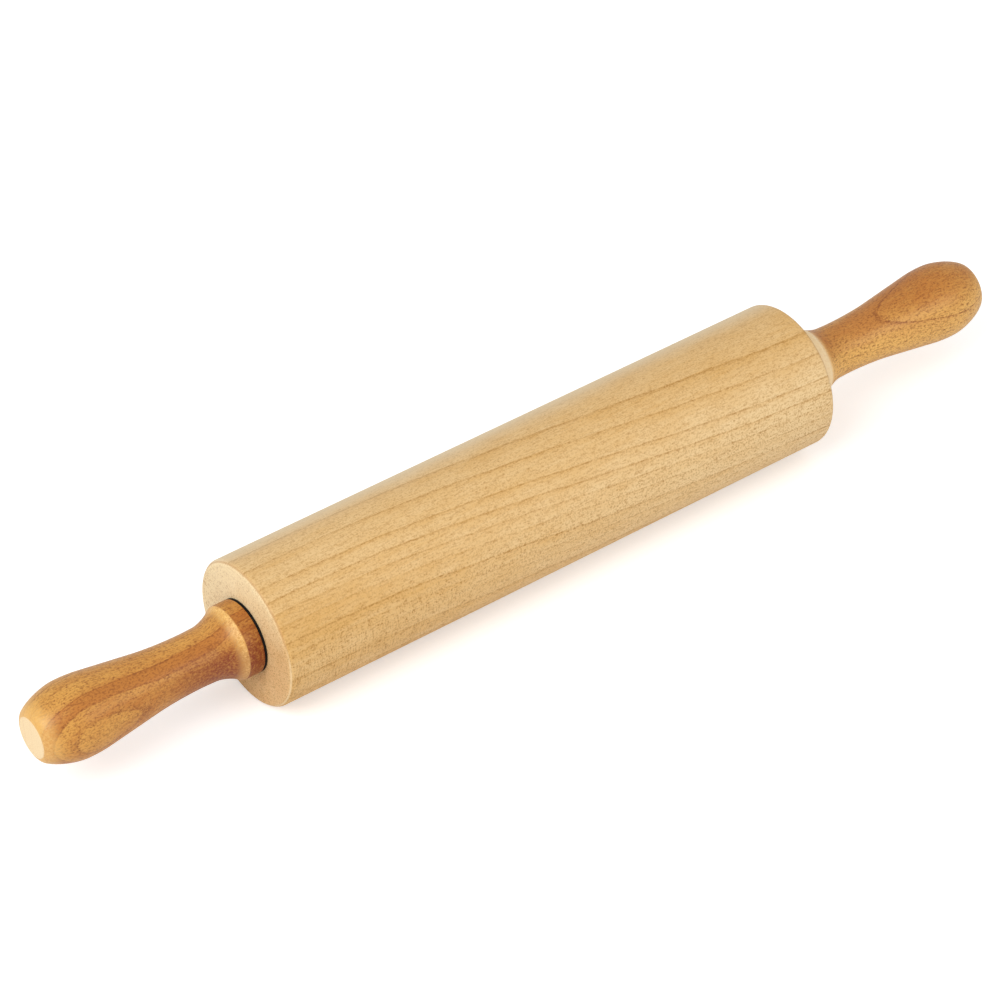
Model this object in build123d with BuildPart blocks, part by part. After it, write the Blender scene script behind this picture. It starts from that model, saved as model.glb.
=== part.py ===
from build123d import *

import os

# Rolling pin: a maple barrel that spins on two shielded ball bearings, with two turned
# handles screwed on the ends of a steel centre rod.
# Millimetres. X runs along the pin, from the left handle to the right one, and Z is up.
# The origin is on the pin's axis, at the middle of the barrel.

# Barrel
barrel_diameter = 70.0
barrel_length = 305.0
barrel_edge_radius = 2.5
rod_hole_diameter = 15.0

# Play between the handles and the barrel
end_float = 3.5
thrust_clearance = 0.1

# End bushings: cups that hold the bearings, and the handles' collars run against their flanges
flange_diameter = 34.8
flange_thickness = 1.0
flange_chamfer = 0.2
cup_diameter = 28.575
rim_length = 3.0
rod_passage_clearance = 0.4

# Ball bearings, a stock inch size: 3/8 bore, 7/8 outside, 9/32 wide, 5/32 balls
bearing_bore = 9.525
bearing_diameter = 22.225
bearing_width = 7.142
bearing_corner = 0.3
ball_diameter = 3.969
ball_count = 7
race_clearance = 0.02
race_radius_share = 0.52
inner_land_share = 0.26
outer_land_share = 0.73
shield_thickness = 0.3
shield_recess = 0.25
shield_seat = 0.5
shield_gap = 0.25
cage_gap = 0.45
cage_width = 4.8
pocket_clearance = 0.1

# Centre rod, and the inserts in the handles that its studs screw into
slide_clearance = 0.03
press_clearance = 0.02
stud_diameter = 7.9
stud_length = 26.0
stud_chamfer = 0.8
insert_diameter = 12.7
insert_length = 18.0
insert_chamfer = 0.6
stud_room = 0.5
bore_room = 4.0

# Handles, from the collar's back face out to the tip
handle_length = 107.6
collar_diameter = 35.0
collar_width = 8.0
collar_chamfer = 0.3
cove_length = 14.5
neck_diameter = 24.2
taper_start = 37.0
taper_end = 81.5
taper_start_radius = 130.0
taper_end_radius = 48.0
crown_end = 87.0
crown_diameter = 36.4
tip_diameter = 22.6
tip_chamfer = 0.5

# Radii and places that follow from the sizes above
rod_radius = bearing_bore / 2 - slide_clearance
rod_passage_radius = rod_radius + rod_passage_clearance
ball_radius = ball_diameter / 2
race_radius = ball_diameter * race_radius_share
pitch_radius = (bearing_bore + bearing_diameter) / 4
ring_build = (bearing_diameter - bearing_bore) / 2
inner_land_radius = bearing_bore / 2 + ring_build * inner_land_share
outer_land_radius = bearing_bore / 2 + ring_build * outer_land_share
outer_ring_radius = bearing_diameter / 2 - press_clearance
shield_seat_radius = outer_land_radius + shield_seat
cup_radius = cup_diameter / 2 - press_clearance
cup_depth = rim_length + bearing_width
bearing_middle = barrel_length / 2 - cup_depth + bearing_width / 2
insert_radius = insert_diameter / 2 - press_clearance
left_face = barrel_length / 2 + flange_thickness + thrust_clearance
right_face = left_face + end_float

SIDES = {"left": -1, "right": 1}
COLLAR_FACES = {"left": left_face, "right": right_face}

os.makedirs("parts", exist_ok=True)


def along(side, distance):
    """Plane through the axis: its x runs outwards from the barrel, and its y is the radius."""
    return Plane(origin=(side * distance, 0, 0), x_dir=(side, 0, 0), z_dir=(0, -side, 0))


def facing_out(side, distance):
    """Plane square to the axis that faces away from the barrel."""
    return Plane(origin=(side * distance, 0, 0), x_dir=(0, 1, 0), z_dir=(side, 0, 0))


def facing_in(side, distance):
    """Plane square to the axis that faces the barrel."""
    return Plane(origin=(side * distance, 0, 0), x_dir=(0, 1, 0), z_dir=(-side, 0, 0))


def outermost(part, side, radius):
    """The circle of one radius that lies furthest from the barrel's middle."""
    circles = part.edges().filter_by(GeomType.CIRCLE)
    matching = circles.filter_by(lambda edge: abs(edge.radius - radius) < press_clearance / 2)
    return matching.sort_by(Axis.X)[-1 if side > 0 else 0]


# Barrel: a plain cylinder with softened ends, bored for the rod and stepped for the bushings
with BuildPart() as barrel:
    with BuildSketch(Plane.YZ):
        Circle(barrel_diameter / 2)
    extrude(amount=barrel_length / 2, both=True)
    fillet(barrel.edges().filter_by(GeomType.CIRCLE), barrel_edge_radius)
    with Locations([facing_out(side, barrel_length / 2) for side in SIDES.values()]):
        CounterBoreHole(
            radius=rod_hole_diameter / 2,
            counter_bore_radius=cup_diameter / 2,
            counter_bore_depth=cup_depth,
            depth=barrel_length / 2,
        )
barrel.part.label = "barrel"
export_step(barrel.part, "parts/barrel.step")

# End bushings: a thin flange against the barrel's end, and a cup whose rim holds the bearing in
for name, side in SIDES.items():
    with BuildPart() as end_bushing:
        with BuildSketch(along(side, barrel_length / 2)):
            with BuildLine():
                Polyline(
                    (flange_thickness, rod_passage_radius),
                    (flange_thickness, flange_diameter / 2),
                    (0, flange_diameter / 2),
                    (0, cup_radius),
                    (-cup_depth, cup_radius),
                    (-cup_depth, bearing_diameter / 2),
                    (-rim_length, bearing_diameter / 2),
                    (-rim_length, shield_seat_radius),
                    (0, shield_seat_radius),
                    (0, rod_passage_radius),
                    close=True,
                )
            make_face()
        revolve(axis=Axis.X)
        chamfer(outermost(end_bushing, side, flange_diameter / 2), flange_chamfer)
    end_bushing.part.label = f"{name}_end_bushing"
    export_step(end_bushing.part, f"parts/{name}_end_bushing.step")

# Outer rings: grooved for the balls, and stepped on both faces for the shields
for name, side in SIDES.items():
    with BuildPart() as outer_ring:
        with BuildSketch(along(side, bearing_middle)) as ring_section:
            with Locations((0, (outer_land_radius + outer_ring_radius) / 2)):
                Rectangle(bearing_width, outer_ring_radius - outer_land_radius)
            chamfer(ring_section.vertices().group_by(Axis.Y)[-1], bearing_corner)
            seat_width = shield_recess + shield_thickness
            seat_middle = (bearing_width - seat_width) / 2
            seat_height = outer_land_radius + shield_seat / 2
            with Locations((-seat_middle, seat_height), (seat_middle, seat_height)):
                Rectangle(seat_width, shield_seat, mode=Mode.SUBTRACT)
            with Locations((0, pitch_radius + ball_radius + race_clearance - race_radius)):
                Circle(race_radius, mode=Mode.SUBTRACT)
        revolve(axis=Axis.X)
    outer_ring.part.label = f"{name}_outer_ring"
    export_step(outer_ring.part, f"parts/{name}_outer_ring.step")

# Inner rings: they slide on the rod and turn with it
for name, side in SIDES.items():
    with BuildPart() as inner_ring:
        with BuildSketch(along(side, bearing_middle)) as ring_section:
            with Locations((0, (bearing_bore / 2 + inner_land_radius) / 2)):
                Rectangle(bearing_width, inner_land_radius - bearing_bore / 2)
            chamfer(ring_section.vertices().group_by(Axis.Y)[0], bearing_corner)
            with Locations((0, pitch_radius - ball_radius - race_clearance + race_radius)):
                Circle(race_radius, mode=Mode.SUBTRACT)
        revolve(axis=Axis.X)
    inner_ring.part.label = f"{name}_inner_ring"
    export_step(inner_ring.part, f"parts/{name}_inner_ring.step")

# Ball cages: a short tube between the rings, with one round pocket for each ball
for name, side in SIDES.items():
    with BuildPart() as ball_cage:
        with BuildSketch(facing_out(side, bearing_middle)):
            Circle(outer_land_radius - cage_gap)
            Circle(inner_land_radius + cage_gap, mode=Mode.SUBTRACT)
        extrude(amount=cage_width / 2, both=True)
        with Locations(facing_out(side, bearing_middle)):
            with PolarLocations(pitch_radius, ball_count):
                Cylinder(
                    ball_radius + pocket_clearance,
                    ring_build,
                    rotation=(0, 90, 0),
                    mode=Mode.SUBTRACT,
                )
    ball_cage.part.label = f"{name}_ball_cage"
    export_step(ball_cage.part, f"parts/{name}_ball_cage.step")

# Bearing balls: both bearings' sets
with BuildPart() as bearing_balls:
    for side in SIDES.values():
        with Locations(facing_out(side, bearing_middle)):
            with PolarLocations(pitch_radius, ball_count):
                Sphere(ball_radius)
bearing_balls.part.label = "bearing_balls"
export_step(bearing_balls.part, "parts/bearing_balls.step")

# Bearing shields: thin washers on the outer ring's steps, clear of the inner ring
for name, side in SIDES.items():
    shield_face = bearing_width / 2 - shield_recess
    with BuildPart() as bearing_shields:
        for face in (bearing_middle - shield_face, bearing_middle + shield_face - shield_thickness):
            with BuildSketch(facing_out(side, face)):
                Circle(shield_seat_radius - press_clearance)
                Circle(inner_land_radius + shield_gap, mode=Mode.SUBTRACT)
            extrude(amount=shield_thickness)
    bearing_shields.part.label = f"{name}_bearing_shields"
    export_step(bearing_shields.part, f"parts/{name}_bearing_shields.step")

# Centre rod: full diameter between the handles, with a stud at each end
with BuildPart() as centre_rod:
    with BuildSketch(facing_in(SIDES["left"], left_face)):
        Circle(rod_radius)
    extrude(amount=left_face + right_face)
    for name, side in SIDES.items():
        with BuildSketch(facing_out(side, COLLAR_FACES[name])):
            Circle(stud_diameter / 2)
        extrude(amount=stud_length)
        chamfer(outermost(centre_rod, side, stud_diameter / 2), stud_chamfer)
centre_rod.part.label = "centre_rod"
export_step(centre_rod.part, "parts/centre_rod.step")

# Handle inserts: the rod's shoulder pulls up against their faces
for name, side in SIDES.items():
    with BuildPart() as handle_insert:
        with BuildSketch(facing_out(side, COLLAR_FACES[name])):
            Circle(insert_radius)
            Circle(stud_diameter / 2 + press_clearance, mode=Mode.SUBTRACT)
        extrude(amount=insert_length)
        chamfer(outermost(handle_insert, side, insert_radius), insert_chamfer)
    handle_insert.part.label = f"{name}_handle_insert"
    export_step(handle_insert.part, f"parts/{name}_handle_insert.step")

# Handles: a square collar, a cove down to the neck, a long taper up to the crown, a round nose
for name, side in SIDES.items():
    with BuildPart() as handle:
        with BuildSketch(along(side, COLLAR_FACES[name])):
            with BuildLine():
                neck = (collar_width + cove_length, neck_diameter / 2)
                crown = (crown_end, crown_diameter / 2)
                tip = (handle_length, tip_diameter / 2)
                Polyline((0, 0), (0, collar_diameter / 2), (collar_width, collar_diameter / 2))
                TangentArc(neck, (collar_width, collar_diameter / 2), tangent=(-1, 0))
                FilletPolyline(
                    neck,
                    (taper_start, neck_diameter / 2),
                    (taper_end, crown_diameter / 2),
                    crown,
                    radius=(taper_start_radius, taper_end_radius),
                )
                TangentArc(crown, tip, tangent=(1, 0))
                Polyline(tip, (handle_length, 0), (0, 0))
            make_face()
        revolve(axis=Axis.X)
        chamfer(outermost(handle, side, tip_diameter / 2), tip_chamfer)
        collar_edges = handle.edges().filter_by(
            lambda edge: edge.geom_type == GeomType.CIRCLE
            and abs(edge.radius - collar_diameter / 2) < press_clearance / 2
        )
        chamfer(collar_edges, collar_chamfer)
        with Locations(facing_in(side, COLLAR_FACES[name])):
            CounterBoreHole(
                radius=stud_diameter / 2 + stud_room,
                counter_bore_radius=insert_diameter / 2,
                counter_bore_depth=insert_length,
                depth=stud_length + bore_room,
            )
    handle.part.label = f"{name}_handle"
    export_step(handle.part, f"parts/{name}_handle.step")
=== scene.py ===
"""Roller rolling pin: an oiled maple barrel on ball bearings, between two lacquered handles.

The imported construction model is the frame. The turned wood is modelled here with softer edges and
takes its nodes' places; the end bushings, the rod, the bearings and the inserts keep their meshes
and get their finishes. Lengths are metres, and the wood's grain is worked out in millimetres.
"""

import math

import bmesh
import bpy
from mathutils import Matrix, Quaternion, Vector, noise


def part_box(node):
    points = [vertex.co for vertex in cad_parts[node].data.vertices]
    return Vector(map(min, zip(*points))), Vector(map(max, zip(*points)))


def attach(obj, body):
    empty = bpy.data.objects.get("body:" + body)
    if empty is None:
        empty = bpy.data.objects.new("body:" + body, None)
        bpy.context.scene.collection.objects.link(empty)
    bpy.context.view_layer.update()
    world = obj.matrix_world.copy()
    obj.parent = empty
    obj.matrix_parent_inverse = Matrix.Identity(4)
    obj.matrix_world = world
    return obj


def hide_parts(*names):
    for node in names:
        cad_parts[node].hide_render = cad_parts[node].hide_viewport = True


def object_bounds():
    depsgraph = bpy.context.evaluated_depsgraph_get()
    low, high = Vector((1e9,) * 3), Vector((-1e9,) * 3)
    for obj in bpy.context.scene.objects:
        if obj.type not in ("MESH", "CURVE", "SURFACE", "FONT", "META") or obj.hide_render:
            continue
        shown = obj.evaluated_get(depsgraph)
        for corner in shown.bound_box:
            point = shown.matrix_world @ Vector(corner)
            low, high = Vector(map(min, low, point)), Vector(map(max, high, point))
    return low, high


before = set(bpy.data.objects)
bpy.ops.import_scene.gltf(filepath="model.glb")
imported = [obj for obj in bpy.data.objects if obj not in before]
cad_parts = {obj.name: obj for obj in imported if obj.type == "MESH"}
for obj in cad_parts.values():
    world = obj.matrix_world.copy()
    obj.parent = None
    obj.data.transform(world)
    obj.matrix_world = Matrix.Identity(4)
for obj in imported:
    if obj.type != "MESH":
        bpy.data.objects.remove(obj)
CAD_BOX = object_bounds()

bl_info = {
    "name": "Roller Rolling Pin",
    "version": (1, 0, 0),
    "blender": (4, 5, 0),
    "location": "3D View > Sidebar > Rolling Pin",
    "description": "Dresses a roller rolling pin: turned wood, bearings, rod and studio",
    "category": "Object",
}

MM = 0.001
FULL_TURN = 2 * math.pi
SIDES = {"left": -1, "right": 1}

# Faces round a turned piece, and the longest face along it
BARREL_STEPS = 224
BARREL_STRIDE = 5 * MM
HANDLE_STEPS = 144
HANDLE_STRIDE = 2.5 * MM

# Faces across each rounding
RIM_CUTS = 2
COLLAR_CUTS = 4
TIP_CUTS = 6
EDGE_CUTS = 10
CROWN_CUTS = 12
NECK_CUTS = 14
NOSE_CUTS = 16

# Where the cove's corner lies: along the cove, and up from the neck to the collar
COVE_REACH_SHARE = 0.42
COVE_RISE_SHARE = 0.16

SHARP_ANGLE = math.radians(32)
PATCHES_PER_METRE = 55.0
NICKS_PER_METRE = 240.0
SENSOR = 36.0


def paint(red, green, blue):
    """Scene-linear colour of a screen colour given in 0 to 255."""
    linear = []
    for level in (red, green, blue):
        share = level / 255
        linear.append(share / 12.92 if share <= 0.04045 else ((share + 0.055) / 1.055) ** 2.4)
    return tuple(linear)


def node_length(node):
    """Length of a node along the pin."""
    low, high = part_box(node)
    return high.x - low.x


def node_diameter(node):
    """Width of a node across the pin."""
    low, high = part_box(node)
    return high.z - low.z


def inner_end(node, side):
    """Where a node's end nearer to the barrel's middle lies along the pin."""
    low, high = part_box(node)
    return low.x if side > 0 else high.x


def length(label, default, description):
    """A length property in metres."""
    return bpy.props.FloatProperty(
        name=label, description=description, default=default, min=0.0, unit="LENGTH", subtype="DISTANCE"
    )


def point(label, default, description):
    """A point in the studio, in metres."""
    return bpy.props.FloatVectorProperty(
        name=label, description=description, default=default, size=3, subtype="TRANSLATION", unit="LENGTH"
    )


def colour(label, screen, description):
    """A colour property, given by its screen colour."""
    return bpy.props.FloatVectorProperty(
        name=label, description=description, default=paint(*screen), min=0.0, max=1.0, size=3,
        subtype="COLOR",
    )


class BarrelSettings(bpy.types.PropertyGroup):
    """Sizes and colours of the barrel."""

    diameter: length("Diameter", node_diameter("barrel"), "Diameter of the working face")
    span: length("Length", node_length("barrel"), "Length from end face to end face")
    edge_radius: length("Edge radius", 2.5 * MM, "Rounding of the two outer edges")
    rod_hole: length("Rod hole", 15.0 * MM, "Diameter of the hole for the rod")
    bushing_seat: length("Bushing seat", 28.575 * MM, "Diameter of the recess for an end bushing")
    seat_depth: length("Seat depth", 10.142 * MM, "Depth of the recess for an end bushing")
    rim_softening: length("Rim softening", 0.25 * MM, "Rounding of the recess's rim")
    edge_wear: length("Edge wear", 0.45 * MM, "How deep use has rubbed the edges")
    wear_reach: length("Wear reach", 3.2 * MM, "How far from the sharp corner the rubbing reaches")
    pale: colour("Wood", (236, 204, 152), "Sapwood between the growth lines")
    # Warm wood; its broad patches are partly the wood's own tone and partly painted shade
    warm: colour("Warm wood", (218, 172, 104), "Wood near the growth lines and low on the barrel")
    line: colour("Growth line", (172, 124, 62), "The growth lines")
    end_grain: colour("End grain", (250, 226, 180), "Sanded end grain")
    # End-grain colour towards the bottom and the front of the end faces
    darker_end_grain: colour("Darker end grain", (228, 186, 130), "End grain low and towards the front")
    rubbed: colour("Rubbed edge", (184, 124, 62), "The burnished outer edge")
    # Painted sheen: a pale grazing reflection painted into the wood's colour high on the far side
    painted_sheen: colour("Painted sheen", (240, 222, 188), "Wood high on the side that faces away from the camera")


class HandleSettings(bpy.types.PropertyGroup):
    """Sizes and colours of the two handles."""

    span: length("Length", node_length("left_handle"), "Length from the collar's face to the tip")
    crown: length("Crown", node_diameter("left_handle"), "Diameter at the widest place")
    collar: length("Collar", 35.0 * MM, "Diameter of the collar")
    collar_width: length("Collar width", 8.0 * MM, "Width of the collar")
    cove: length("Cove", 14.5 * MM, "Length of the cove between collar and neck")
    neck: length("Neck", 24.2 * MM, "Diameter of the neck")
    taper_start: length("Taper start", 37.0 * MM, "Where the neck begins to widen, from the collar's face")
    taper_end: length("Taper end", 81.5 * MM, "Where the taper meets the crown, from the collar's face")
    crown_end: length("Crown end", 87.0 * MM, "Where the nose begins, from the collar's face")
    tip: length("Tip", 22.6 * MM, "Diameter of the flat end")
    tip_rounding: length("Tip rounding", 2.8 * MM, "Rounding round the flat end")
    insert: length("Insert hole", 12.7 * MM, "Diameter of the hole for the brass insert")
    insert_depth: length("Insert depth", 18.0 * MM, "Depth of the hole for the brass insert")
    stud: length("Stud hole", 8.9 * MM, "Diameter of the hole past the insert")
    stud_depth: length("Stud depth", 30.0 * MM, "Depth of the hole past the insert")
    edge: length("Edge softening", 0.6 * MM, "Rounding of the collar's edges")
    bore_softening: length("Bore softening", 0.2 * MM, "Rounding of the insert hole's rim")
    neck_rounding: length("Neck rounding", 14.0 * MM, "Rounding where the neck begins to widen")
    crown_rounding: length("Crown rounding", 4.0 * MM, "Rounding where the taper meets the crown")
    nose: length("Nose", 10.0 * MM, "How far past the crown's end the nose's corner lies")
    nose_rounding: length("Nose rounding", 9.5 * MM, "Rounding of the nose")
    amber: colour("Lacquered wood", (226, 170, 84), "Wood between the growth lines")
    brown: colour("Dark wood", (190, 121, 52), "Wood near the growth lines")
    # Red wood, also painted shade low on the left neck and under the left collar, beside the barrel
    red: colour("Red wood", (134, 62, 31), "The darkest wood, by the left collar")
    # Honey is also a painted highlight on the rim where the collar meets the cove
    honey: colour("Honey wood", (250, 202, 122), "Thinly lacquered wood of the cove's rim and round the tip")
    line: colour("Growth line", (140, 80, 34), "The growth lines")
    # Cream is also the painted highlight by the right handle's collar
    cream: colour("End grain", (249, 222, 176), "Bare wood of the tip")


class MetalSettings(bpy.types.PropertyGroup):
    """Colours of the rod, the bearings, the inserts and the moulded pieces."""

    rod: colour("Rod", (176, 176, 178), "Drawn steel of the rod")
    bearing: colour("Bearing rings", (168, 169, 173), "Ground steel of the rings")
    shield: colour("Shields", (182, 182, 182), "Pressed steel of the shields")
    ball: colour("Balls", (205, 205, 209), "Polished chrome steel of the balls")
    brass: colour("Brass", (205, 168, 96), "Turned brass of the inserts")
    black: colour("Black nylon", (8, 8, 8), "Moulded nylon of the end bushings")
    ivory: colour("Natural nylon", (226, 216, 188), "Moulded nylon of the ball cages")


class StudioSettings(bpy.types.PropertyGroup):
    """Camera, lamps and floor."""

    camera_place: point("Camera", (-0.8832, -1.1778, 1.2069), "Where the camera stands")
    camera_aim: point("Aim", (-0.0096, 0.0066, 0.0), "The point that the camera looks at")
    camera_roll: bpy.props.FloatProperty(
        name="Roll", description="Turn of the camera about its own line of sight",
        default=math.radians(-0.65), subtype="ANGLE",
    )
    lens: bpy.props.FloatProperty(
        name="Lens", description="Focal length on a 36 mm sensor", default=152.46, min=1.0, unit="CAMERA"
    )
    far_clip: length("Far clip", 20.0, "How far the camera sees")
    sky: bpy.props.FloatProperty(
        name="Room light", description="Strength of the light from all round", default=0.62, min=0.0
    )
    key: bpy.props.FloatProperty(
        name="Key", description="Power of the large lamp above the left handle", default=26.0, min=0.0,
        unit="POWER",
    )
    key_place: point("Key place", (-1.6, -0.5, 1.7), "Where the key lamp hangs")
    key_size: length("Key size", 1.3, "Width of the key lamp")
    fill: bpy.props.FloatProperty(
        name="Fill", description="Power of the lamp on the camera's right", default=9.0, min=0.0,
        unit="POWER",
    )
    fill_place: point("Fill place", (0.9, -1.8, 1.1), "Where the fill lamp hangs")
    fill_size: length("Fill size", 1.2, "Width of the fill lamp")
    floor_reach: length("Floor reach", 4.0, "Half the width of the floor")
    floor: colour("Floor", (244, 244, 244), "Plain pale floor")
    floor_glow: bpy.props.FloatProperty(
        name="Floor glow", description="Light added where the camera sees the floor", default=0.4, min=0.0
    )


class Signal:
    """A shader socket that takes part in sums: each operator adds one Math node."""

    def __init__(self, finish, socket):
        self.finish = finish
        self.socket = socket

    def math(self, operation, *values):
        """One Math node on this socket and more values."""
        return self.finish.node("ShaderNodeMath", {"operation": operation}, dict(enumerate((self, *values))))

    def __add__(self, other):
        return self.math("ADD", other)

    __radd__ = __add__

    def __sub__(self, other):
        return self.math("SUBTRACT", other)

    def __rsub__(self, other):
        return self.finish.node("ShaderNodeMath", {"operation": "SUBTRACT"}, {0: other, 1: self})

    def __mul__(self, other):
        return self.math("MULTIPLY", other)

    def __pow__(self, other):
        return self.math("POWER", other)

    def __abs__(self):
        return self.math("ABSOLUTE")


class Finish:
    """A procedural material and the tree that makes it."""

    def __init__(self, name):
        self.material = bpy.data.materials.new(name)
        self.material.use_nodes = True
        self.tree = self.material.node_tree
        self.tree.nodes.clear()
        self.coordinates = self.tree.nodes.new("ShaderNodeTexCoord")
        metres = Signal(self, self.coordinates.outputs["Object"])
        self.point = self.vector("SCALE", metres, {3: 1 / MM})
        self.x, self.y, self.z = self.split(self.point)

    def node(self, kind, settings=None, inputs=None, output=0):
        """Add a node: its settings first, then its sockets by value or link. Returns one output."""
        made = self.tree.nodes.new(kind)
        for name, value in (settings or {}).items():
            setattr(made, name, value)
        for name, value in (inputs or {}).items():
            if isinstance(value, Signal):
                self.tree.links.new(value.socket, made.inputs[name])
            else:
                made.inputs[name].default_value = value
        return Signal(self, made.outputs[output]) if made.outputs else None

    def vector(self, operation, first, inputs):
        """A Vector Math node."""
        return self.node("ShaderNodeVectorMath", {"operation": operation}, {0: first, **inputs})

    def split(self, vector):
        """The three parts of a vector."""
        parts = self.node("ShaderNodeSeparateXYZ", None, {0: vector})
        outputs = parts.socket.node.outputs
        return tuple(Signal(self, outputs[k]) for k in range(3))

    def step(self, value, low, high):
        """A smooth step from 0 at low to 1 at high."""
        return self.node(
            "ShaderNodeMapRange",
            {"interpolation_type": "SMOOTHSTEP"},
            {0: value, 1: low, 2: high, 3: 0.0, 4: 1.0},
        )

    def clouds(self, size, stretch=(1, 1, 1), detail=2.0, roughness=0.5, point=None, shift=0.0):
        """Noise from 0 to 1 whose patches are size millimetres wide, times stretch along each axis."""
        scales = tuple(1 / (size * share) for share in stretch)
        placed = self.vector("MULTIPLY", point or self.point, {1: scales})
        moved = self.vector("ADD", placed, {1: (shift, -shift, shift)})
        return self.node(
            "ShaderNodeTexNoise",
            {"noise_dimensions": "3D"},
            {"Vector": moved, "Scale": 1.0, "Detail": detail, "Roughness": roughness},
        )

    def mix(self, factor, first, second, blend="MIX"):
        """Two colours mixed."""
        return self.node(
            "ShaderNodeMix",
            {"data_type": "RGBA", "blend_type": blend, "clamp_factor": True},
            {0: factor, 6: rgba(first), 7: rgba(second)},
            output=2,
        )

    def surface(self, inputs, bumps=()):
        """The closing shader, with its bumps: pairs of a height and its depth in millimetres."""
        normal = None
        for height, depth in bumps:
            sockets = {"Height": height, "Distance": depth * MM, "Strength": 1.0}
            if normal is not None:
                sockets["Normal"] = normal
            normal = self.node("ShaderNodeBump", None, sockets)
        if normal is not None:
            inputs = {**inputs, "Normal": normal}
        shader = self.node("ShaderNodeBsdfPrincipled", None, inputs)
        self.node("ShaderNodeOutputMaterial", None, {"Surface": shader})
        return self.material


def rgba(value):
    """A colour with its alpha, or the socket as it is."""
    return value if isinstance(value, Signal) else (*value, 1.0)


def turned(corners, steps, stride):
    """A solid turned about the pin's axis.

    corners run round the half section as (place along the axis, radius, rounding, segments).
    """
    bm = bmesh.new()
    verts = [bm.verts.new((x, 0, radius)) for x, radius, rounding, segments in corners]
    bm.faces.new(verts)
    for vert, (x, radius, rounding, segments) in zip(verts, corners):
        if rounding:
            bmesh.ops.bevel(
                bm, geom=[vert], offset=rounding, offset_type="OFFSET", affect="VERTICES",
                segments=segments, profile=0.5, material=-1,
            )
    bm.faces.ensure_lookup_table()
    bmesh.ops.delete(bm, geom=list(bm.faces), context="FACES_ONLY")
    for edge in list(bm.edges):
        cuts = math.ceil(edge.calc_length() / stride) - 1
        if cuts > 0:
            bmesh.ops.subdivide_edges(bm, edges=[edge], cuts=cuts)
    tiny = 0.001 * MM
    on_axis = [e for e in bm.edges if all(v.co.z < tiny for v in e.verts)]
    bmesh.ops.delete(bm, geom=on_axis, context="EDGES")
    bmesh.ops.spin(
        bm, geom=list(bm.verts) + list(bm.edges), axis=(1, 0, 0), cent=(0, 0, 0),
        angle=FULL_TURN, steps=steps, use_merge=True, use_duplicate=False,
    )
    bmesh.ops.remove_doubles(bm, verts=list(bm.verts), dist=tiny)
    bmesh.ops.recalc_face_normals(bm, faces=list(bm.faces))
    return bm


def finished(name, bm, material, body, slot, *nodes):
    """Make a piece of a bmesh, and put it in place of its nodes."""
    mesh = bpy.data.meshes.new(name)
    for face in bm.faces:
        face.smooth = True
    bm.to_mesh(mesh)
    bm.free()
    mesh.set_sharp_from_angle(angle=SHARP_ANGLE)
    mesh.materials.append(material)
    piece = bpy.data.objects.new(name, mesh)
    bpy.context.scene.collection.objects.link(piece)
    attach(piece, body)
    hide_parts(*nodes)
    return piece


def wear(bm, face_x, outer_radius, depth, reach):
    """Rub the outer edges at both ends of the barrel, deeper in some places than in others."""
    for vert in bm.verts:
        radius = math.hypot(vert.co.y, vert.co.z)
        from_edge = math.hypot(face_x - abs(vert.co.x), outer_radius - radius)
        if from_edge >= reach:
            continue
        patch = 0.5 + 0.5 * noise.noise(vert.co * PATCHES_PER_METRE)
        nick = max(0.0, noise.noise(vert.co * NICKS_PER_METRE) - 0.25)
        rub = depth * (0.25 + 0.6 * patch + 0.5 * nick) * (1 - from_edge / reach) ** 2
        outward = Vector((math.copysign(1.0, vert.co.x), vert.co.y / radius, vert.co.z / radius))
        vert.co -= outward.normalized() * rub


def growth(finish, depth, lines, soft, crisp):
    """How dark the growth lines make the wood: each rises over soft millimetres and ends in crisp."""
    dark = None
    for place, strength in lines:
        rise = finish.step(depth, place - soft, place)
        fall = finish.step(depth, place, place + crisp)
        line = rise * (1 - fall) * strength
        dark = line if dark is None else dark.math("MAXIMUM", line)
    return dark


# Growth lines of the barrel: place through the wood in millimetres, and strength
BARREL_LINES = (
    (29.9, 0.75), (21.7, 0.7), (11.1, 0.75), (4.1, 0.75), (-2.0, 0.5), (-7.9, 0.45),
    (-14.6, 0.8), (-19.4, 0.4), (-23.2, 0.25), (-28.2, 0.7), (-33.3, 0.5),
)

# How far the tree's heart lies from the barrel's axis, in millimetres
HEART = 160.0

# How the grain turns round the barrel from one place along it to another, in millimetres
TWIST_FROM = -137.5
TWIST_TO = 182.5
TWIST = math.radians(-40)
TWIST_START = math.radians(45)


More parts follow.
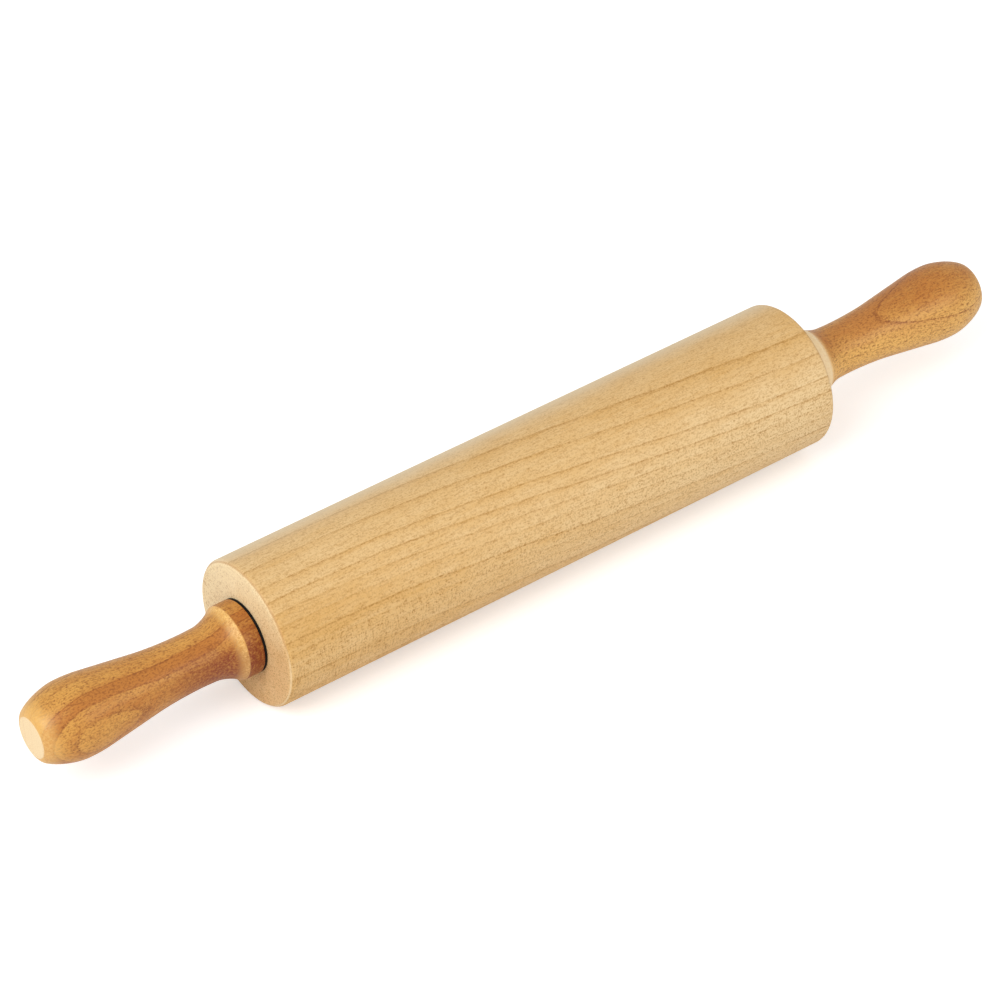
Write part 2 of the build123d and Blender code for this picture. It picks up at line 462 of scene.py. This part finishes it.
def barrel_finish(settings):
    """Oiled maple: long growth lines that drift round the barrel, fine flecks and pale end grain."""
    f = Finish("oiled_maple")
    drift = f.clouds(80, (1.6, 1, 1), detail=1.0) - 0.5
    ripple = f.clouds(17, (2.2, 1, 1), detail=2.0) - 0.5
    turn = f.step(f.x, TWIST_FROM, TWIST_TO) * TWIST + TWIST_START
    rotated = f.node(
        "ShaderNodeVectorRotate", {"rotation_type": "X_AXIS"}, {"Vector": f.point, "Angle": turn}
    )
    _, across, towards = f.split(rotated)
    ring = HEART - ((HEART - towards) ** 2 + across ** 2).math("SQRT") + drift * 2.0 + ripple * 1.3
    streaks = f.clouds(1.1, (24, 1, 1), detail=3.0) - 0.5
    thin = growth(f, ring, BARREL_LINES, 0.95, 0.4) * (streaks * 1.6 + 0.95)
    broad = growth(f, ring, BARREL_LINES, 5.0, 0.5)

    flecks = f.clouds(0.7, (4, 1, 1), detail=1.0) - 0.5
    speckle = f.clouds(0.85, detail=1.0, roughness=0.8) - 0.5
    mottle = f.clouds(8, (2.2, 1, 1), detail=4.0, roughness=0.65) - 0.5
    left = f.step(f.x * -1, -160.0, 150.0)
    upper = f.step(f.z, 15.0, 34.0)
    low = f.step(f.z * -1, -22.0, -4.0)
    band = f.step(f.z, 2.0, 15.0) * (1 - f.step(f.z, 21.0, 31.0)) * f.step(f.x * -1, 40.0, 152.0)

    # Broad tone, partly the wood's own and partly painted shade: warmer on the left half, high on the right
    # half and in a band low on the left
    warmth = left * (0.62 - upper * 0.2) + (1 - left) * upper * 0.62 + band * 0.3
    warmth = warmth + broad * 0.3 + mottle * 0.75 + streaks * 0.5 + 0.02
    side = f.mix(warmth, settings.pale, settings.warm)
    curl = f.clouds(0.9, (0.55, 5, 5), detail=1.0) - 0.5
    curl_patch = f.step(f.x * -1, 45.0, 80.0) * f.step(f.z * -1, -16.0, -4.0)
    rough = speckle * (1.5 + low * 1.1) + flecks * 1.1
    dark = thin * 0.5 + rough + curl * curl_patch * 1.6 + 0.12
    side = f.mix(dark, side, settings.line)
    # Painted sheen: high on the far side the wood is mixed towards pale grey-cream, a reflection painted
    # into the colour
    side = f.mix(f.step(f.y, 2.0, 26.0) * f.step(f.z, 8.0, 28.0) * 0.75, side, settings.painted_sheen)

    normal = Signal(f, f.coordinates.outputs["Normal"])
    facing = abs(f.split(normal)[0])
    pores = f.clouds(0.55, (0.4, 1, 1), detail=2.0, roughness=0.7) - 0.5
    # The end faces darken towards the bottom and the front, in broad patches
    end_darkening = f.step(f.z * -1 + f.y * -0.9, -34.0, 30.0) + (f.clouds(12, detail=3.0) - 0.5) * 0.7
    end = f.mix(end_darkening, settings.end_grain, settings.darker_end_grain)
    end = f.mix(pores * (end_darkening * 3.0 + 1.1) + rough * 0.8 + 0.04, end, settings.line)
    base = f.mix(f.step(facing, 0.55, 0.93), side, end)
    edge = f.step(facing, 0.58, 0.7) * (1 - f.step(facing, 0.76, 0.86))
    burnish = f.step(f.z + (f.clouds(14, detail=2.0) - 0.5) * 50.0, -6.0, 22.0)
    base = f.mix(edge * burnish * 0.4, base, settings.rubbed)
    base = f.mix(edge * (1 - burnish) * 0.5, base, settings.end_grain)

    roughness = 0.52 + mottle * 0.15 + speckle * 0.1 - thin * 0.06
    grain = thin * -0.5 + flecks * 0.8 + streaks * 0.5 + speckle * 0.7
    return f.surface(
        {"Base Color": base, "Roughness": roughness, "Specular IOR Level": 0.22},
        [(grain, 0.06), (f.clouds(30, (3, 1, 1)), 0.12)],
    )


class HandleGrain:
    """How one handle's grain lies."""

    def __init__(self, side, heart_angle, slope, lines, shades, brown, red, gold, dark_collar_end):
        self.side = side
        self.heart_angle = heart_angle
        self.slope = slope
        self.lines = lines
        self.shades = shades
        self.brown = brown
        self.red = red
        self.gold = gold
        self.dark_collar_end = dark_collar_end


HANDLE_GRAIN = {
    "left": HandleGrain(
        side=-1, heart_angle=2.0, slope=0.053,
        lines=((16.6, 0.7), (12.5, 0.8), (7.9, 0.85), (-0.6, 0.45), (-6.5, 0.7), (-11.5, 0.6), (-15.5, 0.7)),
        shades=((16.6, -0.1), (12.5, -0.42), (7.9, 0.6), (-0.6, 0.05), (-11.5, 0.2)),
        brown=0.06,
        red=1.0,
        gold=0.0,
        dark_collar_end=8.1,
    ),
    "right": HandleGrain(
        side=1, heart_angle=68.0, slope=-0.085,
        lines=((10.1, 0.95), (4.3, 0.5), (1.9, 0.45), (-4.5, 0.6), (-9.5, 0.7), (-14.5, 0.6)),
        shades=((10.1, -0.12), (5.0, 0.35), (-4.5, -0.2), (-9.5, 0.3)),
        brown=0.44,
        red=0.0,
        gold=1.0,
        dark_collar_end=5.0,
    ),
}


def handle_finish(name, settings):
    """Lacquered hardwood: ovals where the turned bulb cuts through the growth layers."""
    plan = HANDLE_GRAIN[name]
    f = Finish(f"lacquered_wood_{name}")
    face = inner_end(f"{name}_handle", plan.side) / MM
    out = (f.x - face) * plan.side
    from_tip = settings.span / MM - out
    angle = math.radians(plan.heart_angle)
    seed = 40.0 * plan.side
    drift = f.clouds(55, (1.5, 1, 1), detail=1.0, shift=seed) - 0.5
    ripple = f.clouds(12, (2, 1, 1), detail=2.0, shift=seed) - 0.5
    towards = f.y * -math.cos(angle) + f.z * math.sin(angle)
    ring = towards + (from_tip - 20.0) * plan.slope + drift * 1.2 + ripple * 0.9
    streaks = f.clouds(0.9, (18, 1, 1), detail=3.0) - 0.5
    thin = growth(f, ring, plan.lines, 0.6, 0.3) * (streaks * 1.6 + 0.95)
    broad = growth(f, ring, plan.lines, 2.6, 0.3)

    shade = f.clouds(8, (2.5, 1, 1), detail=4.0, roughness=0.65, shift=seed) * 0.9 - 0.28
    for place, amount in plan.shades:
        shade = shade + f.step(ring, place - 0.5, place + 0.1) * amount
    low = f.step(f.z * -1, -16.5, -2.0)
    by_tip = 1 - f.step(from_tip, 3.0, 40.0)
    speckle = f.clouds(0.85, (1.3, 1, 1), detail=1.0, roughness=0.8) - 0.5
    flecks = f.clouds(0.7, (3, 1, 1), detail=1.0) - 0.5
    brown = shade + broad * 0.3 + streaks * 0.8 + plan.brown - by_tip * 0.2 - low * plan.gold * 0.75
    base = f.mix(brown, settings.amber, settings.brown)
    base = f.mix(low * plan.gold * 0.3, base, settings.honey)
    base = f.mix(thin * 0.5 + speckle * 2.2 + flecks * 1.4 + 0.14, base, settings.line)
    pale_tip = 1 - f.step(from_tip, 1.0, 9.0)
    base = f.mix(pale_tip * (0.5 - plan.gold * 0.45 + speckle * 1.1), base, settings.honey)

    # Partly red wood, partly painted shade: low on the left neck and round the underside of the left collar,
    # beside the barrel's end, the wood goes dark red
    by_collar = 1 - f.step(out, 18.0, 58.0)
    on_collar = 1 - f.step(out, plan.dark_collar_end - 1.0, plan.dark_collar_end)
    shaded_collar_underside = f.step(f.z * -1, -18.5, -3.0) ** 0.5
    shaded_low_neck = f.step(f.z * -1, -12.5, -4.0)
    red = by_collar * shaded_low_neck * plan.red * 0.9 * (1 - on_collar) + on_collar * shaded_collar_underside * plan.red * 1.0
    base = f.mix(red * (0.85 + speckle * 1.6), base, settings.red)
    # Partly paler wood, partly painted highlight: a honey ring where the collar meets the cove, weaker low
    # on the left handle
    rim = f.step(out, plan.dark_collar_end - 0.6, plan.dark_collar_end) * (1 - f.step(out, 8.8, 13.5))
    rim = rim * (1 - low * plan.red * 0.35)
    base = f.mix(rim * (0.6 + speckle * 2.0), base, settings.honey)
    # Painted highlight: by the right handle's collar the wood is mixed towards cream
    painted_collar_highlight = (1 - f.step(out, 8.0, 11.5)) * plan.gold
    base = f.mix(painted_collar_highlight * (0.9 + speckle * 0.6), base, settings.cream)
    tip = f.step(out, settings.span / MM - 0.3, settings.span / MM - 0.1)
    pores = f.clouds(0.5, (0.4, 1, 1), detail=2.0, roughness=0.7) - 0.5
    tip_wood = f.mix(pores * 1.1 + thin * 0.2 + 0.05, settings.cream, settings.brown)
    base = f.mix(tip, base, tip_wood)

    grain = thin * -0.5 + streaks * 0.6 + speckle * 0.8 + flecks * 0.6
    return f.surface(
        {
            "Base Color": base,
            "Roughness": 0.42 + streaks * 0.12 + speckle * 0.1 + tip * 0.12,
            "Specular IOR Level": 0.25,
            "Coat Weight": 0.14 - tip * 0.12,
            "Coat Roughness": 0.25,
        },
        [(grain, 0.06), (f.clouds(18, (2, 1, 1)), 0.1)],
    )


def metal_finish(name, base_colour, roughness, streak_size, stretch, depth):
    """Worked metal: fine streaks along one direction, and small changes of shine."""
    f = Finish(name)
    streaks = f.clouds(streak_size, stretch, detail=3.0) - 0.5
    patches = f.clouds(4.0, detail=3.0) - 0.5
    dull = tuple(0.72 * level for level in base_colour)
    base = f.mix(0.3 + streaks * 0.9 + patches * 0.6, base_colour, dull)
    return f.surface(
        {"Base Color": base, "Metallic": 1.0, "Roughness": roughness + streaks * 0.12 + patches * 0.15},
        [(streaks, depth)],
    )


def nylon_finish(name, base_colour, roughness):
    """Moulded nylon: a faint mottle and a spark-eroded skin."""
    f = Finish(name)
    mottle = f.clouds(3.5, detail=3.0) - 0.5
    skin = f.clouds(0.25, detail=2.0) - 0.5
    lighter = tuple(min(1.0, 1.35 * level + 0.01) for level in base_colour)
    base = f.mix(0.35 + mottle * 0.9 + skin * 0.4, base_colour, lighter)
    return f.surface(
        {"Base Color": base, "Roughness": roughness + skin * 0.2 + mottle * 0.1, "Specular IOR Level": 0.16},
        [(skin, 0.02)],
    )


def dress(nodes, material):
    """Give CAD nodes a material."""
    for node in nodes:
        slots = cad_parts[node].data.materials
        slots.clear()
        slots.append(material)


class PIN_OT_barrel(bpy.types.Operator):
    """Model the bored maple barrel with its rubbed edges"""

    bl_idname = "pin.barrel"
    bl_label = "Barrel"

    def execute(self, context):
        s = context.scene.pin_barrel
        half, radius = s.span / 2, s.diameter / 2
        corners = [
            (-half, s.bushing_seat / 2, s.rim_softening, RIM_CUTS),
            (-half, radius, s.edge_radius, EDGE_CUTS),
            (half, radius, s.edge_radius, EDGE_CUTS),
            (half, s.bushing_seat / 2, s.rim_softening, RIM_CUTS),
            (half - s.seat_depth, s.bushing_seat / 2, 0, 0),
            (half - s.seat_depth, s.rod_hole / 2, 0, 0),
            (s.seat_depth - half, s.rod_hole / 2, 0, 0),
            (s.seat_depth - half, s.bushing_seat / 2, 0, 0),
        ]
        bm = turned(corners, BARREL_STEPS, BARREL_STRIDE)
        wear(bm, half, radius, s.edge_wear, s.wear_reach)
        finished("turned_barrel", bm, barrel_finish(s), "roller", "barrel_maple", "barrel")
        return {"FINISHED"}


class PIN_OT_handles(bpy.types.Operator):
    """Model the two turned handles with their collars, coves, necks and bulbs"""

    bl_idname = "pin.handles"
    bl_label = "Handles"

    def execute(self, context):
        s = context.scene.pin_handles
        for name, side in SIDES.items():
            face = inner_end(f"{name}_handle", side)
            cove = s.cove * COVE_REACH_SHARE
            rise = (s.collar - s.neck) / 2 * COVE_RISE_SHARE
            outline = (
                (0, s.insert / 2, s.bore_softening, RIM_CUTS),
                (0, s.collar / 2, s.edge, COLLAR_CUTS),
                (s.collar_width, s.collar / 2, s.edge, COLLAR_CUTS),
                (s.collar_width + cove, s.neck / 2 + rise, cove, NECK_CUTS),
                (s.taper_start, s.neck / 2, s.neck_rounding, NECK_CUTS),
                (s.taper_end, s.crown / 2, s.crown_rounding, CROWN_CUTS),
                (s.crown_end + s.nose, s.crown / 2, s.nose_rounding, NOSE_CUTS),
                (s.span, s.tip / 2, s.tip_rounding, TIP_CUTS),
                (s.span, 0, 0, 0),
                (s.stud_depth, 0, 0, 0),
                (s.stud_depth, s.stud / 2, 0, 0),
                (s.insert_depth, s.stud / 2, 0, 0),
                (s.insert_depth, s.insert / 2, 0, 0),
            )
            corners = [(face + side * x, *corner) for x, *corner in outline]
            bm = turned(corners, HANDLE_STEPS, HANDLE_STRIDE)
            material = handle_finish(name, s)
            piece = f"turned_{name}_handle"
            finished(piece, bm, material, "handle_set", "handle_wood", f"{name}_handle")
        return {"FINISHED"}


class PIN_OT_end_bushings(bpy.types.Operator):
    """Finish the black nylon bushings between the barrel and the collars"""

    bl_idname = "pin.end_bushings"
    bl_label = "End bushings"

    def execute(self, context):
        s = context.scene.pin_metal
        dress([f"{name}_end_bushing" for name in SIDES], nylon_finish("black_nylon", s.black, 0.68))
        return {"FINISHED"}


class PIN_OT_bearings(bpy.types.Operator):
    """Finish the two shielded ball bearings"""

    bl_idname = "pin.bearings"
    bl_label = "Bearings"

    def execute(self, context):
        s = context.scene.pin_metal
        rings = metal_finish("ground_steel", s.bearing, 0.28, 0.5, (0.2, 3, 3), 0.01)
        dress([f"{name}_{ring}_ring" for name in SIDES for ring in ("outer", "inner")], rings)
        shields = metal_finish("pressed_steel", s.shield, 0.36, 1.2, (0.3, 1, 1), 0.015)
        dress([f"{name}_bearing_shields" for name in SIDES], shields)
        dress([f"{name}_ball_cage" for name in SIDES], nylon_finish("natural_nylon", s.ivory, 0.5))
        dress(["bearing_balls"], metal_finish("polished_chrome_steel", s.ball, 0.07, 2.0, (1, 1, 1), 0.002))
        return {"FINISHED"}


class PIN_OT_rod(bpy.types.Operator):
    """Finish the steel rod and the brass inserts that it screws into"""

    bl_idname = "pin.rod"
    bl_label = "Rod and inserts"

    def execute(self, context):
        s = context.scene.pin_metal
        dress(["centre_rod"], metal_finish("drawn_steel", s.rod, 0.3, 0.35, (40, 1, 1), 0.01))
        brass = metal_finish("turned_brass", s.brass, 0.3, 0.4, (0.3, 6, 6), 0.02)
        dress([f"{name}_handle_insert" for name in SIDES], brass)
        return {"FINISHED"}


def softbox(name, place, aim, size, power):
    """A large square lamp."""
    lamp = bpy.data.lights.new(name, "AREA")
    lamp.shape = "SQUARE"
    lamp.size = size
    lamp.energy = power
    holder = bpy.data.objects.new(name, lamp)
    holder.location = place
    holder.rotation_mode = "QUATERNION"
    holder.rotation_quaternion = (Vector(aim) - Vector(place)).to_track_quat("-Z", "Y")
    bpy.context.scene.collection.objects.link(holder)


class PIN_OT_studio(bpy.types.Operator):
    """Set the pale floor, the soft lamps, the white surroundings and the camera"""

    bl_idname = "pin.studio"
    bl_label = "Studio"

    def execute(self, context):
        s = context.scene.pin_studio
        scene = context.scene
        scene.view_settings.view_transform = "Standard"

        bm = bmesh.new()
        bmesh.ops.create_grid(bm, x_segments=1, y_segments=1, size=s.floor_reach)
        bmesh.ops.translate(bm, verts=list(bm.verts), vec=(0, 0, CAD_BOX[0].z))
        mesh = bpy.data.meshes.new("studio_floor")
        bm.to_mesh(mesh)
        bm.free()
        floor = bpy.data.objects.new("studio_floor", mesh)
        scene.collection.objects.link(floor)
        f = Finish("pale_floor")
        path = f.tree.nodes.new("ShaderNodeLightPath")
        seen = Signal(f, path.outputs["Is Camera Ray"])
        diffuse = f.node("ShaderNodeBsdfDiffuse", None, {"Color": rgba(s.floor)})
        glow = f.node("ShaderNodeEmission", None, {"Color": (1, 1, 1, 1), "Strength": seen * s.floor_glow})
        both = f.node("ShaderNodeAddShader", None, {0: diffuse, 1: glow})
        f.node("ShaderNodeOutputMaterial", None, {"Surface": both})
        mesh.materials.append(f.material)

        world = bpy.data.worlds.new("studio_room")
        world.use_nodes = True
        scene.world = world
        tree = world.node_tree
        background = tree.nodes["Background"]
        path = tree.nodes.new("ShaderNodeLightPath")
        seen = tree.nodes.new("ShaderNodeMath")
        seen.operation = "MAXIMUM"
        tree.links.new(path.outputs["Is Camera Ray"], seen.inputs[0])
        tree.links.new(path.outputs["Is Transmission Ray"], seen.inputs[1])
        level = tree.nodes.new("ShaderNodeMapRange")
        level.inputs[3].default_value = s.sky
        level.inputs[4].default_value = 1.0
        tree.links.new(seen.outputs[0], level.inputs[0])
        tree.links.new(level.outputs[0], background.inputs["Strength"])
        background.inputs["Color"].default_value = (1, 1, 1, 1)

        middle = Vector(s.camera_aim)
        softbox("key_lamp", s.key_place, middle, s.key_size, s.key)
        softbox("fill_lamp", s.fill_place, middle, s.fill_size, s.fill)

        lens = bpy.data.cameras.new("studio_camera")
        lens.lens = s.lens
        lens.sensor_width = SENSOR
        lens.clip_end = s.far_clip
        camera = bpy.data.objects.new("studio_camera", lens)
        place = Vector(s.camera_place)
        camera.location = place
        camera.rotation_mode = "QUATERNION"
        aim = (middle - place).to_track_quat("-Z", "Y")
        camera.rotation_quaternion = aim @ Quaternion((0, 0, 1), s.camera_roll)
        scene.collection.objects.link(camera)
        scene.camera = camera
        return {"FINISHED"}


STEPS = (PIN_OT_barrel, PIN_OT_handles, PIN_OT_end_bushings, PIN_OT_bearings, PIN_OT_rod, PIN_OT_studio)


class PIN_PT_steps(bpy.types.Panel):
    """The pin's pieces and the studio, in the order they are made"""

    bl_label = "Rolling Pin"
    bl_idname = "PIN_PT_steps"
    bl_space_type = "VIEW_3D"
    bl_region_type = "UI"
    bl_category = "Rolling Pin"

    def draw(self, context):
        for step in STEPS:
            self.layout.operator(step.bl_idname)


GROUPS = {
    "pin_barrel": BarrelSettings,
    "pin_handles": HandleSettings,
    "pin_metal": MetalSettings,
    "pin_studio": StudioSettings,
}


def register():
    """Add the settings, the operators and the panel."""
    for name, group in GROUPS.items():
        bpy.utils.register_class(group)
        setattr(bpy.types.Scene, name, bpy.props.PointerProperty(type=group))
    for step in (*STEPS, PIN_PT_steps):
        bpy.utils.register_class(step)


def unregister():
    """Take them away again."""
    for step in (PIN_PT_steps, *reversed(STEPS)):
        bpy.utils.unregister_class(step)
    for name, group in GROUPS.items():
        delattr(bpy.types.Scene, name)
        bpy.utils.unregister_class(group)


def main():
    """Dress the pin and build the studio."""
    register()
    bpy.ops.pin.barrel()
    bpy.ops.pin.handles()
    bpy.ops.pin.end_bushings()
    bpy.ops.pin.bearings()
    bpy.ops.pin.rod()
    bpy.ops.pin.studio()


if __name__ == "__main__":
    main()
